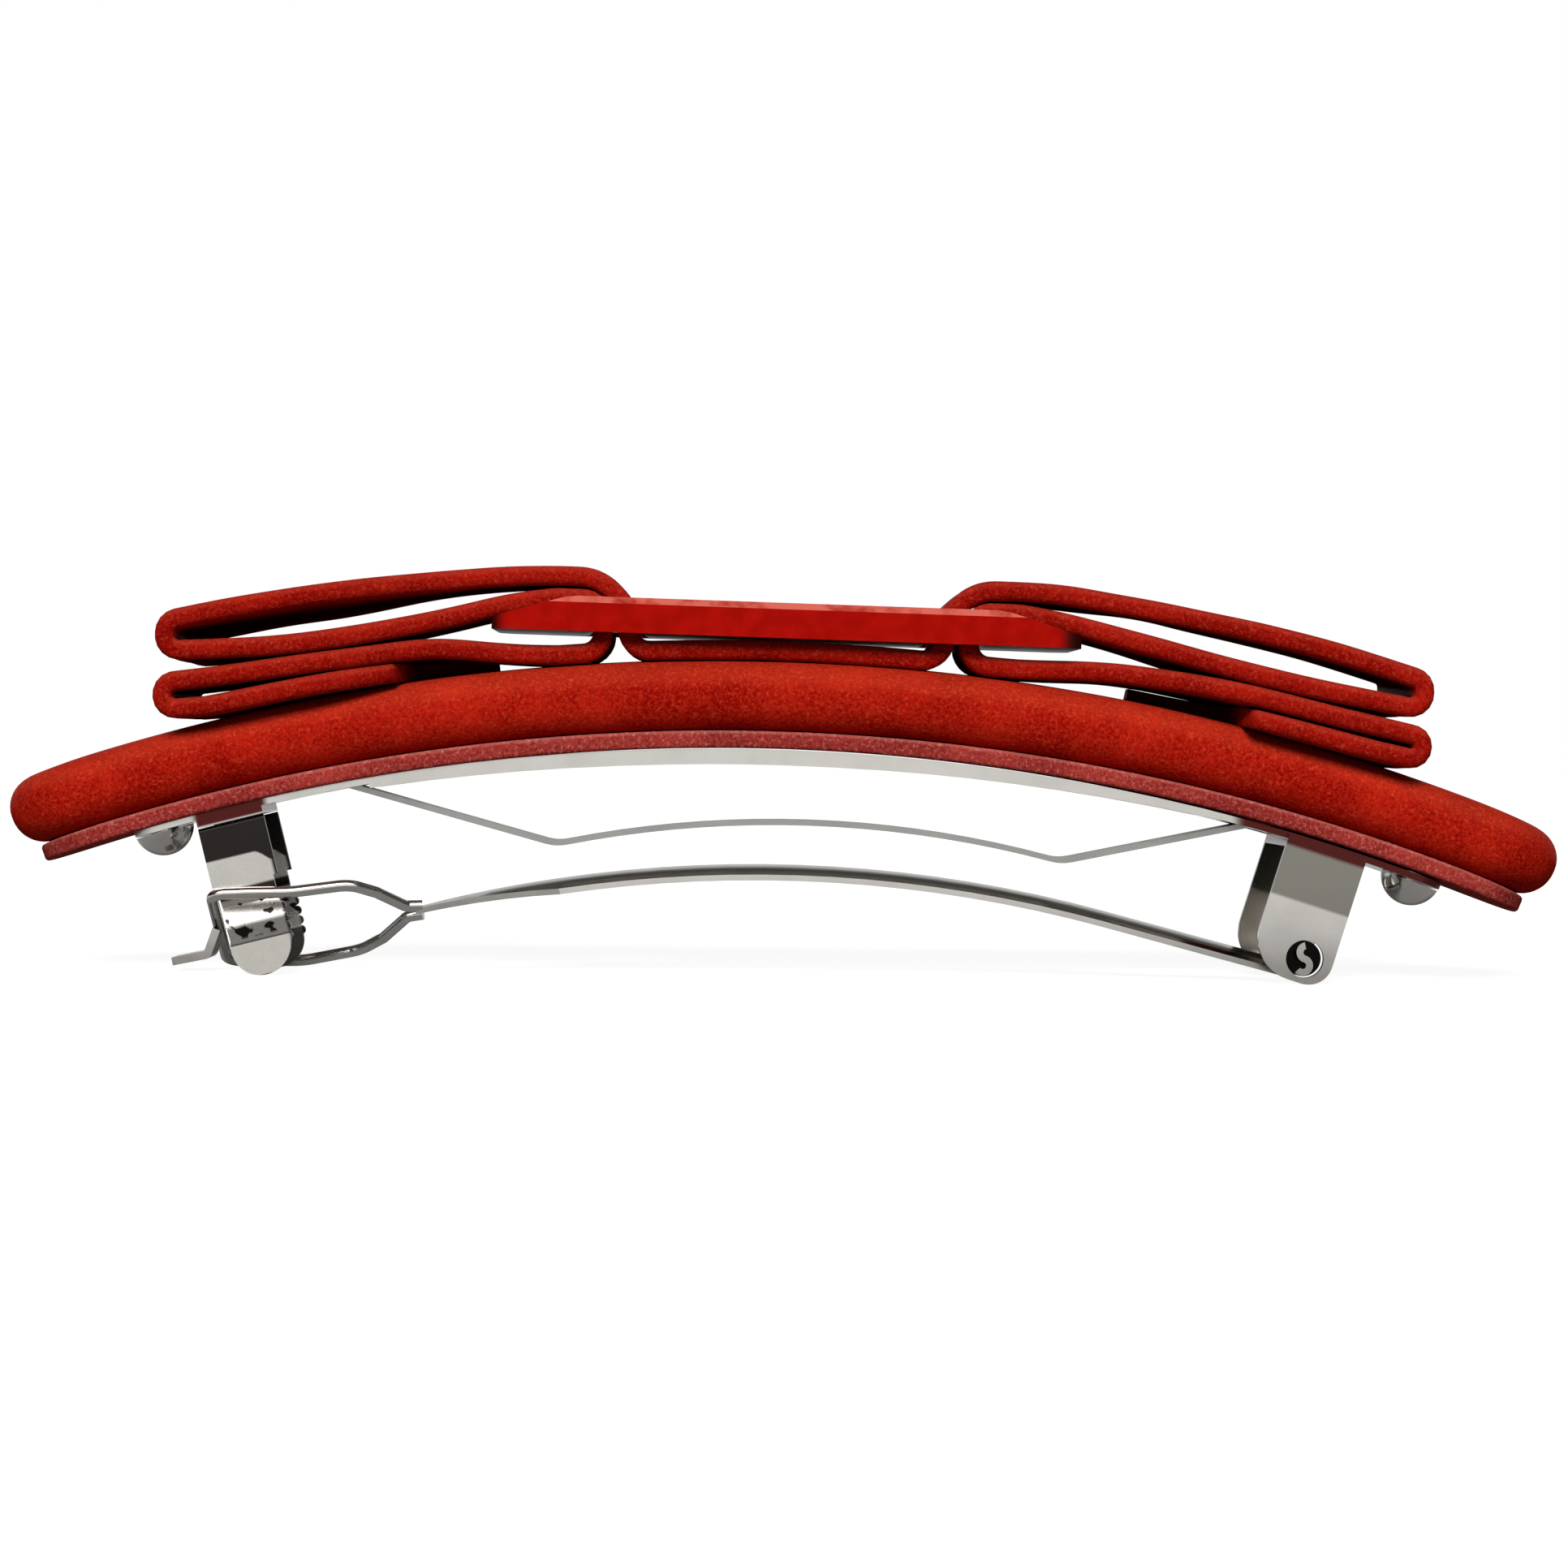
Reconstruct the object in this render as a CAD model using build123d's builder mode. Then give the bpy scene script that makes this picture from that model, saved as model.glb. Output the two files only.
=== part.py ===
from build123d import *
import os
from math import acos, asin, atan2, cos, degrees, hypot, radians, sin, sqrt

os.makedirs("parts", exist_ok=True)

# All lengths are in millimetres. The barrette is drawn on a side plane whose x runs along the bar and
# whose y points up. Places on that plane count from the top of the bar's arch, at its middle.

# Padded leather bar, an arch
bar_span = 95.7
bar_width = 13.0
bar_thickness = 4.35
bar_radius = 131.0
bar_rounding = 2.05

# Leather lining under the bar
lining_thickness = 1.05
lining_setback = 0.5
lining_end_setback = 1.1
lining_rounding = 0.25

# Clip base, a strip of sheet with a flange on each long side
clip_shift = 0.6
strip_length = 80.4
strip_width = 9.0
strip_thickness = 0.4
strip_corner = 1.5
flange_length = 51.5
flange_depth = 0.55
flange_radius = 147.0
flange_thickness = 0.45
bracket_sheet = 0.5
bracket_fold = 0.55

# Rivets with domed heads
rivet_spacing = 77.4
rivet_head_diameter = 3.7
rivet_head_height = 1.5
rivet_shank_diameter = 1.8

# Hinge ears
ear_reach = 33.5
ear_spacing = 10.5
ear_left = 3.2
ear_right = 1.75
ear_left_rounding = 2.6
ear_foot = 1.5
hinge_drop = 6.75
hinge_bore = 2.3

# Latch with two sprung tongues
latch_reach = 34.3
latch_spacing = 9.2
latch_width = 4.1
knob_width = 3.5
knob_drop = 6.9
knob_bulge = 0.12
notch_drop = 5.6
panel_drop = 4.3
notch_depth = 0.4
crease_drop = 8.0
crease_depth = 0.3
lip_drop = 8.3
lip_radius = 1.85
lip_flare = 0.25
tongue_bend = 0.6
grip_tooth = 0.3
grip_spacing = 0.62
grip_teeth = 4

# Tension spring
spring_width = 3.4
spring_thickness = 0.35
spring_length = 55.7
spring_end_shift = 0.55
spring_bend_spacing = 31.2
spring_bend_shift = 1.3
spring_drop = 5.9
spring_radius = 67.0
spring_bend_rounding = 2.8
spring_slot_length = 3.2

# Clasp arm with a ring at its tip
arm_radius = 83.0
arm_drop = 7.0
arm_shift = 0.76
arm_reach = 22.9
arm_width = 4.4
arm_camber = 0.6
arm_sheet = 0.36
arm_seat = 0.75
arm_tip_width = 1.7
arm_taper = 9.0
ring_wire = 0.72
ring_overrun = 3.05
ring_roll = 23.5
tab_length = 2.65
tab_width = 3.6
tab_sheet = 0.5
tab_drop = 1.6
curl_radius = 0.42
curl_depth = 0.9
# Start and turn in degrees of the curl's two arcs
upper_curl = (120, 150)
lower_curl = (-120, 210)

# Folded bow ribbon and the slotted plate that it is threaded through
ribbon_thickness = 1.2
ribbon_width = 16.0
ribbon_waist = 10.2
waist_margin = 0.4
waist_shoulder = 11.0
waist_rounding = 8.0
left_loop_reach = 38.2
right_loop_reach = 39.2
left_cut_end = 23.9
right_cut_end = 28.6
plate_length = 36.0
plate_width = 13.0
plate_height = 2.15
plate_end_bar = 6.1
plate_end_height = 0.72
plate_bar_height = 1.36
plate_slot = 2.9
plate_rail_start = 1.3
plate_corner = 1.4
plate_bevel = 0.4
bend_radius = 1.25
fall_bend_radius = 1.35
crest_bend_radius = 3.0
crest_foot_bend_radius = 1.9
crest_lean = 1.79
crest_plies = 1.1
foot_plies = 0.56
under_plate_plies = 0.52
under_plate_bend_radius = 30.0

# Clearances
ply_gap = 0.04
leather_gap = 0.05
metal_gap = 0.05
ring_gap = 0.16
running_gap = 0.05
slot_gap = 0.1

# Radii of the arch, from the bar's top down to the underside of the clip's strip
bar_under_radius = bar_radius - bar_thickness
lining_top_radius = bar_under_radius - leather_gap
lining_under_radius = lining_top_radius - lining_thickness
strip_top_radius = lining_under_radius - metal_gap
strip_under_radius = strip_top_radius - strip_thickness


def arch_point(x, radius):
    """Point at x on a circle about the arch's centre, on the side plane."""
    return Vector(x, sqrt(radius**2 - x**2) - bar_radius)


def arch_angle(x, radius=bar_radius):
    """Angle from the upright of the arch's radius through x, in degrees."""
    return degrees(asin(x / radius))


def polar_point(angle, radius):
    """Point at an angle from the upright and a radius from the arch's centre."""
    return Vector(radius * sin(radians(angle)), radius * cos(radians(angle)) - bar_radius)


# Hinge pin, latch lips, and the slope at which the barrette rests on its lips and ears
hinge_angle = arch_angle(clip_shift + ear_reach, strip_under_radius)
hinge = polar_point(hinge_angle, strip_under_radius - hinge_drop)
latch_angle = arch_angle(clip_shift - latch_reach, strip_under_radius)
lip = polar_point(latch_angle, strip_under_radius - lip_drop)
foot_offset = ear_right - ear_foot
ear_slope = radians(hinge_angle)
foot = hinge + Vector(foot_offset * cos(ear_slope), -foot_offset * sin(ear_slope))
foot_span = hypot(foot.X - lip.X, foot.Y - lip.Y)
rest_slope = atan2(foot.Y - lip.Y, foot.X - lip.X) + asin((lip_radius - ear_foot) / foot_span)
rest_height = lip_radius + lip.X * sin(rest_slope) - lip.Y * cos(rest_slope)
end_drop = bar_radius - sqrt(bar_radius**2 - (bar_span / 2) ** 2)
side = Plane(
    origin=(end_drop * sin(rest_slope), 0, rest_height),
    x_dir=(cos(rest_slope), 0, -sin(rest_slope)),
    z_dir=(0, -1, 0),
)


def arch_plane(angle, radius):
    """Plane that touches the arch at an angle from the upright, its z axis pointing outward."""
    foot = side.from_local_coords(polar_point(angle, radius))
    outward = side.from_local_coords(polar_point(angle, radius + 1)) - foot
    along = side.from_local_coords(polar_point(angle + 90, radius)) - side.from_local_coords(
        Vector(0, -bar_radius)
    )
    return Plane(origin=foot, x_dir=along, z_dir=outward)


def arch_sector(start, finish, outer, inner):
    """Side profile of the arch between two angles and two radii."""
    centre = (0, -bar_radius)
    with BuildSketch(Plane.XY, mode=Mode.PRIVATE) as sector:
        with BuildLine():
            upper = CenterArc(centre, outer, 90 - finish, finish - start)
            lower = CenterArc(centre, inner, 90 - finish, finish - start)
            Line(upper @ 0, lower @ 0)
            Line(upper @ 1, lower @ 1)
        make_face()
    return sector.sketch


def rounded_arch(end_angle, outer, inner, width):
    """Arched bar whose two ends are half circles in plan."""
    with BuildPart(mode=Mode.PRIVATE) as arch:
        with BuildSketch(side):
            add(arch_sector(-end_angle * 2, end_angle * 2, outer, inner))
        extrude(amount=width, both=True)
        for end in (-1, 1):
            with BuildSketch(arch_plane(end * end_angle, outer)):
                with Locations((-end * width / 2, 0)):
                    Circle(width / 2)
                with Locations((-end * (width + bar_span) / 2, 0)):
                    Rectangle(bar_span, width)
            extrude(amount=bar_span, both=True, mode=Mode.INTERSECT)
    return arch.part


# Padded bar
bar_end_angle = arch_angle(bar_span / 2, bar_radius - bar_thickness / 2)
with BuildPart() as padded_bar:
    add(rounded_arch(bar_end_angle, bar_radius, bar_under_radius, bar_width))
    fillet(padded_bar.edges().filter_by(lambda e: e.length > bar_width), bar_rounding)
padded_bar.part.label = "padded_bar"
export_step(padded_bar.part, "parts/padded_bar.step")

# Rivet places along the arch
rivet_angles = {
    "left": arch_angle(clip_shift - rivet_spacing / 2, strip_under_radius),
    "right": arch_angle(clip_shift + rivet_spacing / 2, strip_under_radius),
}

# Lining, with a hole for each rivet's shank
lining_end_angle = bar_end_angle - degrees(lining_end_setback / bar_radius)
with BuildPart() as lining_strip:
    lining_width = bar_width - 2 * lining_setback
    add(rounded_arch(lining_end_angle, lining_top_radius, lining_under_radius, lining_width))
    fillet(lining_strip.edges().filter_by(lambda e: e.length > bar_width), lining_rounding)
    for angle in rivet_angles.values():
        with BuildSketch(arch_plane(angle, lining_top_radius)):
            Circle(rivet_shank_diameter / 2 + metal_gap)
        extrude(amount=lining_thickness * 2, both=True, mode=Mode.SUBTRACT)
lining_strip.part.label = "lining_strip"
export_step(lining_strip.part, "parts/lining_strip.step")

# Rivets, a domed head under the strip and a shank up through the strip and the lining
for name, angle in rivet_angles.items():
    head_plane = arch_plane(angle, strip_under_radius - metal_gap)
    dome_radius = ((rivet_head_diameter / 2) ** 2 + rivet_head_height**2) / (2 * rivet_head_height)
    with BuildPart() as rivet:
        with BuildSketch(Plane(origin=head_plane.origin, x_dir=head_plane.x_dir, z_dir=-head_plane.y_dir)):
            with BuildLine():
                Line((0, 0), (rivet_head_diameter / 2, 0))
                RadiusArc((rivet_head_diameter / 2, 0), (0, -rivet_head_height), dome_radius)
                Line((0, -rivet_head_height), (0, 0))
            make_face()
        revolve(axis=Axis(head_plane.origin, head_plane.z_dir))
        with BuildSketch(head_plane):
            Circle(rivet_shank_diameter / 2)
        extrude(amount=metal_gap + strip_thickness + metal_gap + lining_thickness)
    rivet.part.label = "rivet_" + name
    export_step(rivet.part, f"parts/rivet_{name}.step")

# Clip base: strip, flanges, hinge ears and the latch's web
strip_half_angle = arch_angle(strip_length / 2, strip_top_radius)
clip_mid_angle = arch_angle(clip_shift, strip_top_radius)
flange_half_angle = arch_angle(flange_length / 2, strip_under_radius)
flange_centre = (clip_shift, strip_under_radius - bar_radius - flange_depth - flange_radius)
spring_end_middle = clip_shift + spring_end_shift
spring_ends = (spring_end_middle - spring_length / 2, spring_end_middle + spring_length / 2)
ear_plane = Plane(
    origin=side.from_local_coords(hinge),
    x_dir=arch_plane(hinge_angle, bar_radius).x_dir,
    z_dir=(0, -1, 0),
)
latch_plane = arch_plane(latch_angle, strip_under_radius)
latch_side = Plane(origin=latch_plane.origin, x_dir=latch_plane.x_dir, z_dir=(0, -1, 0))
with BuildPart() as clip_base:
    with BuildSketch(side):
        strip_angles = (clip_mid_angle - strip_half_angle, clip_mid_angle + strip_half_angle)
        add(arch_sector(*strip_angles, strip_top_radius, strip_under_radius))
    extrude(amount=strip_width / 2, both=True)
    fillet(clip_base.edges().filter_by(lambda e: e.length < strip_corner), strip_corner)
    # Flanges, deepest in the middle, where a flatter arc bounds them
    with BuildSketch(side):
        flange_angles = (clip_mid_angle - flange_half_angle, clip_mid_angle + flange_half_angle)
        strip_middle_radius = strip_under_radius + strip_thickness / 2
        add(arch_sector(*flange_angles, strip_middle_radius, strip_under_radius - flange_depth))
        with Locations(flange_centre):
            Circle(flange_radius, mode=Mode.SUBTRACT)
    extrude(amount=strip_width / 2, both=True)
    with BuildSketch(side):
        add(arch_sector(*strip_angles, strip_under_radius, strip_under_radius - flange_depth * 2))
    extrude(amount=strip_width / 2 - flange_thickness, both=True, mode=Mode.SUBTRACT)
    # Hinge ears, folded down from a web under the strip
    with BuildSketch(ear_plane):
        with Locations(((ear_right - ear_left) / 2, hinge_drop + (strip_thickness / 2 - bracket_fold) / 2)):
            Rectangle(ear_left + ear_right, bracket_fold + strip_thickness / 2)
    extrude(amount=ear_spacing / 2, both=True)
    for hand in (-1, 1):
        with BuildSketch(ear_plane.offset(hand * (ear_spacing - bracket_sheet) / 2)) as ear:
            with Locations(((ear_right - ear_left) / 2, (hinge_drop - ear_foot) / 2)):
                Rectangle(ear_left + ear_right, hinge_drop + ear_foot)
            fillet(ear.vertices().group_by(Axis.Y)[0].sort_by(Axis.X)[0], ear_left_rounding)
            fillet(ear.vertices().group_by(Axis.Y)[0].sort_by(Axis.X)[-1], ear_foot)
        extrude(amount=bracket_sheet / 2, both=True)
    with BuildSketch(ear_plane):
        Circle(hinge_bore / 2)
    extrude(amount=ear_spacing, both=True, mode=Mode.SUBTRACT)
    # Web that the latch's tongues hang from
    with BuildSketch(latch_side):
        with Locations((0, (strip_thickness / 2 - bracket_sheet) / 2)):
            Rectangle(latch_width, bracket_sheet + strip_thickness / 2)
    extrude(amount=latch_spacing / 2, both=True)
    # Holes for the rivets' shanks, and slots that the spring's ends hook into
    for angle in rivet_angles.values():
        with BuildSketch(arch_plane(angle, strip_top_radius)):
            Circle(rivet_shank_diameter / 2 + metal_gap)
        extrude(amount=strip_thickness * 2, both=True, mode=Mode.SUBTRACT)
    for x in spring_ends:
        with BuildSketch(arch_plane(arch_angle(x, strip_top_radius), strip_top_radius)):
            Rectangle(spring_slot_length, spring_width + 2 * slot_gap)
        extrude(amount=strip_thickness * 2, both=True, mode=Mode.SUBTRACT)
clip_base.part.label = "clip_base"
export_step(clip_base.part, "parts/clip_base.step")

# Latch tongues, each bent from sheet and hung on its rounded top edge
tongue_middle = (latch_spacing - bracket_sheet) / 2
tongue_top = bracket_sheet + metal_gap + bracket_sheet / 2
for name, hand in {"front": -1, "back": 1}.items():
    profile_plane = Plane(
        origin=latch_plane.origin,
        x_dir=(0, hand, 0),
        z_dir=latch_plane.x_dir * hand,
    )
    with BuildPart() as tongue:
        with BuildSketch(profile_plane):
            with BuildLine() as bends:
                FilletPolyline(
                    (tongue_middle, -tongue_top),
                    (tongue_middle, -notch_drop + tongue_bend),
                    (tongue_middle - notch_depth, -notch_drop),
                    (tongue_middle + knob_bulge, -knob_drop),
                    (tongue_middle - crease_depth, -crease_drop),
                    (tongue_middle + lip_flare, -lip_drop - lip_radius),
                    radius=tongue_bend / 2,
                )
            trace(bends.line, bracket_sheet)
            with Locations((tongue_middle, -tongue_top)):
                Circle(bracket_sheet / 2)
        extrude(amount=latch_width, both=True)
        with BuildSketch(latch_side):
            with Locations((0, -panel_drop / 2)):
                Rectangle(latch_width, panel_drop)
            with Locations((0, -lip_drop / 2)):
                Rectangle(knob_width, lip_drop)
            with Locations((0, -lip_drop)):
                Circle(lip_radius)
            with Locations((knob_width / 2, -knob_drop - grip_spacing / 2)):
                with GridLocations(grip_spacing, grip_spacing, 1, grip_teeth):
                    Circle(grip_tooth)
        extrude(amount=latch_spacing, both=True, mode=Mode.INTERSECT)
    tongue.part.label = "latch_tongue_" + name
    export_step(tongue.part, f"parts/latch_tongue_{name}.step")

# Tension spring, a bent strip whose ends hook into the clip's slots
spring_bend_y = strip_under_radius - bar_radius - spring_drop
spring_half = spring_bend_spacing / 2
spring_sag = spring_radius - sqrt(spring_radius**2 - spring_half**2)
spring_middle = clip_shift + spring_bend_shift
spring_hook_radius = strip_top_radius - spring_thickness / 2 - metal_gap
with BuildPart() as tension_spring:
    with BuildSketch(side):
        with BuildLine() as spring_line:
            left_bend = Vector(spring_middle - spring_half, spring_bend_y)
            right_bend = Vector(spring_middle + spring_half, spring_bend_y)
            Line(arch_point(spring_ends[0], spring_hook_radius), left_bend)
            ThreePointArc(left_bend, (spring_middle, spring_bend_y + spring_sag), right_bend)
            Line(right_bend, arch_point(spring_ends[1], spring_hook_radius))
            bends = spring_line.vertices().group_by(Axis.Y)[0]
            fillet(bends, spring_bend_rounding)
        trace(spring_line.line, spring_thickness)
    extrude(amount=spring_width / 2, both=True)
tension_spring.part.label = "tension_spring"
export_step(tension_spring.part, "parts/tension_spring.step")

# Clasp arm: its straight end runs to the hinge pin, tangent to its own arc
arm_centre = Vector(clip_shift + arm_shift, strip_under_radius - bar_radius - arm_drop - arm_radius)
to_hinge = hinge - arm_centre
seat_cosine = (arm_radius + arm_seat) / to_hinge.length
arm_end_angle = degrees(atan2(to_hinge.X, to_hinge.Y) - acos(seat_cosine))
arm_straight = to_hinge.length * sqrt(1 - seat_cosine**2)
arm_tip_angle = degrees(asin((arm_reach + arm_shift) / arm_radius))


def arm_plane(angle):
    """Plane across the clasp arm at an angle from the upright, its y axis pointing away from the arc."""
    outward = Vector(sin(radians(angle)), cos(radians(angle)))
    along = Vector(cos(radians(angle)), -sin(radians(angle)))
    foot = arm_centre + outward * arm_radius
    origin = side.from_local_coords(foot)
    return Plane(origin=origin, x_dir=(0, 1, 0), z_dir=side.from_local_coords(foot + along) - origin)


tip_plane = arm_plane(-arm_tip_angle)
tip = side.to_local_coords(tip_plane.origin)
# The ring goes round the latch, clear of its lips
ring_length = tip.X - lip.X + ring_overrun
lip_edge = latch_spacing / 2 + lip_flare
ring_half_width = (lip_edge + ring_gap + ring_wire / 2) / cos(radians(ring_roll))
# Half of the ring. Each row: share of its length, of its half width, of its length downward, and
# the bend radius in wire diameters.
ring_shape = [
    (-0.03, 0.12, -0.01, 0),
    (0.05, 0.15, 0.0, 0.8),
    (0.185, 0.66, 0.025, 1.6),
    (0.31, 0.95, 0.042, 2.5),
    (0.60, 1.0, 0.098, 8),
    (0.80, 1.0, 0.108, 4),
    (1.0, 0.97, 0.118, 1.3),
]


def ring_point(along, width, drop, hand):
    """Point of the ring's wire, on the front for hand 1 and on the back for hand -1."""
    reach = hand * width * ring_half_width
    return side.from_local_coords(
        Vector(
            tip.X - along * ring_length,
            tip.Y - drop * ring_length + reach * sin(radians(ring_roll)),
            reach * cos(radians(ring_roll)),
        )
    )


with BuildPart() as clasp_arm:
    # Cambered strip
    with BuildSketch(arm_plane(arm_end_angle)) as arm_section:
        with BuildLine():
            edge = arm_width / 2
            rise = arm_camber / 2
            upper = ThreePointArc((-edge, -rise), (0, rise), (edge, -rise))
            under = rise + arm_sheet
            lower = ThreePointArc((-edge, -under), (0, rise - arm_sheet), (edge, -under))
            Line(upper @ 0, lower @ 0)
            Line(upper @ 1, lower @ 1)
        make_face()
    extrude(amount=arm_straight)
    revolve(
        arm_section.sketch,
        axis=Axis(side.from_local_coords(arm_centre), (0, -1, 0)),
        revolution_arc=arm_end_angle + arm_tip_angle,
    )
    # Its width tapers to the tip
    with BuildSketch(Plane(origin=tip_plane.origin, x_dir=tip_plane.z_dir, z_dir=tip_plane.y_dir)):
        with BuildLine():
            Polyline(
                (-arm_tip_width, arm_tip_width / 2),
                (0, arm_tip_width / 2),
                (arm_taper, arm_width / 2),
                (bar_span, arm_width / 2),
                (bar_span, -arm_width / 2),
                (arm_taper, -arm_width / 2),
                (0, -arm_tip_width / 2),
                (-arm_tip_width, -arm_tip_width / 2),
                close=True,
            )
        make_face()
    extrude(amount=bar_span, both=True, mode=Mode.INTERSECT)
    # Pin through both ears, with a curl showing on each end
    with BuildSketch(ear_plane):
        Circle(hinge_bore / 2 - running_gap)
    extrude(amount=ear_spacing / 2, both=True)
    for hand in (-1, 1):
        with BuildSketch(ear_plane.offset(hand * ear_spacing / 2)):
            Circle(hinge_bore / 2)
            with BuildLine(mode=Mode.PRIVATE) as curl:
                CenterArc((0, curl_radius), curl_radius, *upper_curl)
                CenterArc((0, -curl_radius), curl_radius, *lower_curl)
            trace(curl.line, curl_radius, mode=Mode.SUBTRACT)
        extrude(amount=curl_depth, both=True, mode=Mode.SUBTRACT)
    # Ring of round wire, rolled about the arm
    with BuildLine() as ring_line:
        front_points = [ring_point(*row[:3], 1) for row in ring_shape]
        back_points = [ring_point(*row[:3], -1) for row in ring_shape]
        bends = [row[3] * ring_wire for row in ring_shape[1:]]
        FilletPolyline(*front_points, *reversed(back_points), radius=bends + bends[::-1])
    with BuildSketch(Plane(origin=ring_line.line @ 0, z_dir=ring_line.line % 0)):
        Circle(ring_wire / 2)
    sweep()
    # Thumb tab on the ring's far side
    with BuildSketch(side):
        with BuildLine() as tab_line:
            start = side.to_local_coords((front_points[-1] + back_points[-1]) / 2)
            neck = start + Vector(-tab_sheet, -tab_drop)
            FilletPolyline(
                (start.X, start.Y),
                (neck.X, neck.Y),
                (start.X - tab_length, neck.Y - tab_sheet),
                radius=tab_sheet / 2,
            )
        trace(tab_line.line, tab_sheet)
    extrude(amount=tab_width / 2, both=True)
clasp_arm.part.label = "clasp_arm"
export_step(clasp_arm.part, "parts/clasp_arm.step")

# Bow ribbon. One strip lies on the bar, folds twice on each side and passes twice through the plate.
# Each row of a loop: share of the way from the plate's end to the loop's fold, plies above the bar, and
# bend radius in plies.
left_lower_loop = [
    (0.52, 0.54, 8),
    (0.84, 0.54, 8),
    (1.0, 0.98, 0.62),
    (1.0, 2.3, 0.62),
    (0.70, 1.73, 8),
    (0.45, 1.56, 8),
    (0.17, 1.54, 6),
    (-0.13, 0.56, 5),
]
left_upper_loop = [
    (0.13, 2.85, 5),
    (0.37, 2.6, 8),
    (0.66, 2.76, 8),
    (1.0, 3.86, 0.7),
    (1.0, 5.33, 0.7),
]
left_top_strand = [
    (0.694, 5.12, 12),
    (0.292, 4.84, 12),
    (-0.091, 4.62, 10),
]
right_lower_loop = [
    (0.85, 0.55, 8),
    (1.0, 0.82, 0.55),
    (1.0, 2.02, 0.55),
    (0.68, 1.62, 8),
    (0.44, 1.54, 8),
    (0.12, 1.34, 6),
    (-0.13, 0.68, 5),
]
right_upper_loop = [
    (0.13, 3.0, 5),
    (0.46, 2.57, 8),
    (0.66, 2.68, 8),
    (1.0, 3.36, 0.64),
    (1.0, 4.75, 0.64),
]
right_top_strand = [
    (0.701, 4.8, 12),
    (0.252, 4.62, 12),
    (-0.066, 4.68, 10),
]
ply = ribbon_thickness + ply_gap


def on_bar(x, plies):
    """Point of the ribbon's middle line at x, a number of plies above the bar."""
    return arch_point(x, bar_radius + ply_gap + plies * ply)


# Heights of the plate, and the places where the ribbon rises and falls through its slots
plate_under = ply + ply_gap
plate_top = plate_under + plate_height
end_bar_top = plate_under + plate_bar_height
plate_end_top = plate_under + plate_end_height
slot_outer = plate_length / 2 - plate_end_bar
slot_inner = slot_outer - plate_slot
ramp_start = slot_outer + plate_end_bar / 2
rising_x = slot_outer - slot_gap - ribbon_thickness / 2
falling_x = slot_inner + slot_gap + ribbon_thickness / 2
over_plate = ply_gap + ribbon_thickness / 2
under_plate_x = falling_x / 3


def half_ribbon(hand, reach, cut_end, lower_loop, upper_loop, top_strand):
    """Points and bend radii of half the ribbon, from its cut end to the plate's middle."""
    plate_end = plate_length / 2
    way = reach - ribbon_thickness / 2 - plate_end
    rows = [(on_bar(cut_end, 0.5), 0)]
    rows += [(on_bar(plate_end + share * way, plies), bend * ply) for share, plies, bend in lower_loop]
    rows += [
        (on_bar(rising_x, foot_plies), bend_radius),
        (Vector(rising_x, end_bar_top + over_plate), bend_radius),
        (Vector(ramp_start, end_bar_top + over_plate), bend_radius * 2),
        (Vector(plate_end, plate_end_top + over_plate + ply_gap), bend_radius * 2),
    ]
    upper_rows = upper_loop + top_strand
    rows += [(on_bar(plate_end + share * way, plies), bend * ply) for share, plies, bend in upper_rows]
    # Over the crest, down through the slot and along the bar under the plate
    crest = end_bar_top + over_plate + crest_plies * ply
    rows += [
        (Vector(falling_x + crest_lean, crest), crest_bend_radius),
        (Vector(falling_x, crest - crest_lean), crest_foot_bend_radius),
        (on_bar(falling_x, foot_plies), fall_bend_radius),
        (on_bar(under_plate_x, under_plate_plies), under_plate_bend_radius),
    ]
    return [(Vector(hand * point.X, point.Y), bend) for point, bend in rows]


left_half = half_ribbon(-1, left_loop_reach, left_cut_end, left_lower_loop, left_upper_loop, left_top_strand)
right_half = half_ribbon(
    1, right_loop_reach, right_cut_end, right_lower_loop, right_upper_loop, right_top_strand
)
ribbon_rows = left_half + right_half[::-1]
waist_end = plate_length / 2 + waist_margin
with BuildPart() as bow_ribbon:
    with BuildSketch(side):
        with BuildLine() as ribbon_line:
            bends = [bend for point, bend in ribbon_rows[1:-1]]
            FilletPolyline(*[point for point, bend in ribbon_rows], radius=bends)
        trace(ribbon_line.line, ribbon_thickness)
    extrude(amount=ribbon_width / 2, both=True)
    # Waist between the plate's ends
    with BuildSketch(Plane(origin=side.origin, x_dir=side.x_dir, z_dir=side.y_dir)) as waist:
        with BuildLine():
            shoulders = [
                (-right_loop_reach * 2, ribbon_width / 2),
                (-waist_end - waist_shoulder, ribbon_width / 2),
                (-waist_end, ribbon_waist / 2),
                (waist_end, ribbon_waist / 2),
                (waist_end + waist_shoulder, ribbon_width / 2),
                (right_loop_reach * 2, ribbon_width / 2),
            ]
            Polyline(*shoulders, *[(x, -y) for x, y in reversed(shoulders)], close=True)
        make_face()
        fillet(waist.vertices().filter_by(lambda v: abs(v.X) < right_loop_reach), waist_rounding)
    extrude(amount=bar_span, both=True, mode=Mode.INTERSECT)
bow_ribbon.part.label = "bow_ribbon"
export_step(bow_ribbon.part, "parts/bow_ribbon.step")

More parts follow.
